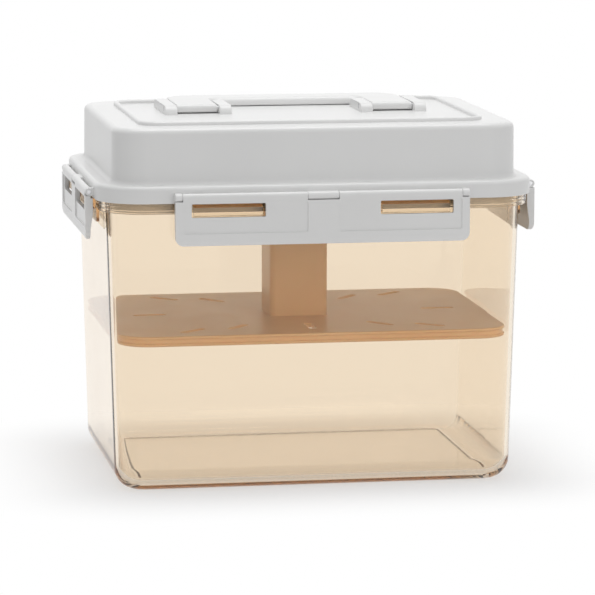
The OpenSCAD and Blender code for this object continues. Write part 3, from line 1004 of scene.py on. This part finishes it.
def build_world():
    """Even light from all round, and a white background."""
    world = bpy.data.worlds.new("studio")
    world.use_nodes = True
    tree = world.node_tree
    tree.nodes.clear()
    out = tree.nodes.new("ShaderNodeOutputWorld")
    light = tree.nodes.new("ShaderNodeBackground")
    light.inputs["Color"].default_value = BACKGROUND
    light.inputs["Strength"].default_value = WORLD_LIGHT
    shown = tree.nodes.new("ShaderNodeBackground")
    shown.inputs["Color"].default_value = BACKGROUND
    shown.inputs["Strength"].default_value = BACKGROUND_STRENGTH
    mix = tree.nodes.new("ShaderNodeMixShader")
    tree.links.new(ray_share(tree), mix.inputs["Fac"])
    tree.links.new(light.outputs["Background"], mix.inputs[1])
    tree.links.new(shown.outputs["Background"], mix.inputs[2])
    tree.links.new(mix.outputs["Shader"], out.inputs["Surface"])
    bpy.context.scene.world = world


def floor_fade(tree):
    """A share that grows with the distance from a rectangle under the object."""
    coords = tree.nodes.new("ShaderNodeTexCoord")
    distance = coords.outputs["Object"]
    steps = (("ABSOLUTE", None), ("SUBTRACT", FADE_FROM), ("MAXIMUM", (0, 0, 0)), ("LENGTH", None))
    for operation, value in steps:
        node = tree.nodes.new("ShaderNodeVectorMath")
        node.operation = operation
        tree.links.new(distance, node.inputs[0])
        if value:
            node.inputs[1].default_value = value
        distance = node.outputs["Value" if operation == "LENGTH" else "Vector"]
    fade = tree.nodes.new("ShaderNodeMapRange")
    fade.interpolation_type = "SMOOTHSTEP"
    fade.inputs["From Min"].default_value = FADE[0]
    fade.inputs["From Max"].default_value = FADE[1]
    fade.inputs["To Min"].default_value = FADE_SHARE
    tree.links.new(distance, fade.inputs["Value"])
    return fade.outputs["Result"]


def floor_material():
    """A pale floor that holds the shadow and fades into the white background."""
    material, tree, out = new_material("floor")
    matt = tree.nodes.new("ShaderNodeBsdfDiffuse")
    matt.inputs["Color"].default_value = FLOOR_COLOUR
    white = tree.nodes.new("ShaderNodeEmission")
    white.inputs["Strength"].default_value = BACKGROUND_STRENGTH
    share = tree.nodes.new("ShaderNodeMath")
    share.operation = "MULTIPLY"
    tree.links.new(floor_fade(tree), share.inputs[0])
    tree.links.new(ray_share(tree), share.inputs[1])
    mix = tree.nodes.new("ShaderNodeMixShader")
    tree.links.new(share.outputs["Value"], mix.inputs["Fac"])
    tree.links.new(matt.outputs["BSDF"], mix.inputs[1])
    tree.links.new(white.outputs["Emission"], mix.inputs[2])
    tree.links.new(mix.outputs["Shader"], out.inputs["Surface"])
    return material


def build_stage():
    """Floor, world and lamps."""
    floor = make("floor", lambda bm: prism(bm, circle(0, 0, FLOOR_R, FLOOR_STEPS), -FLOOR_T, 0, upward))
    floor.data.materials.append(floor_material())
    build_world()
    for name, place, size, power in LAMPS:
        data = bpy.data.lights.new(name, "AREA")
        data.shape = "DISK"
        data.size = size
        data.energy = power
        lamp = bpy.data.objects.new(name, data)
        lamp.location = place
        lamp.rotation_euler = (AIM - Vector(place)).to_track_quat("-Z", "Y").to_euler()
        bpy.context.scene.collection.objects.link(lamp)


def build_camera():
    """The photograph's viewpoint, fitted to the edges seen in it."""
    a, e, roll = (math.radians(v) for v in CAMERA_ANGLES)
    back = Vector((math.sin(a) * math.cos(e), -math.cos(a) * math.cos(e), math.sin(e)))
    right = Vector((math.cos(a), math.sin(a), 0))
    up = back.cross(right)
    c, s = math.cos(roll), math.sin(roll)
    axes = (c * right + s * up, c * up - s * right, back)
    data = bpy.data.cameras.new("camera")
    data.lens = CAMERA_LENS
    data.sensor_width = CAMERA_SENSOR
    data.shift_x, data.shift_y = CAMERA_SHIFT
    data.clip_end = CAMERA_FAR
    camera = bpy.data.objects.new("camera", data)
    camera.matrix_world = Matrix.Translation(CAMERA_PLACE) @ Matrix(axes).transposed().to_4x4()
    bpy.context.scene.collection.objects.link(camera)
    bpy.context.scene.camera = camera


def set_scene():
    """Plain colours, and enough bounces for the light that runs far along the clear walls."""
    scene = bpy.context.scene
    scene.view_settings.view_transform = "Standard"
    scene.cycles.max_bounces = BOUNCES
    scene.cycles.glossy_bounces = BOUNCES
    scene.cycles.transmission_bounces = BOUNCES


set_scene()
build_camera()
build_container()
build_lid()
build_gasket()
build_latches()
build_handle()
build_press()
finish_pins()
build_stage()
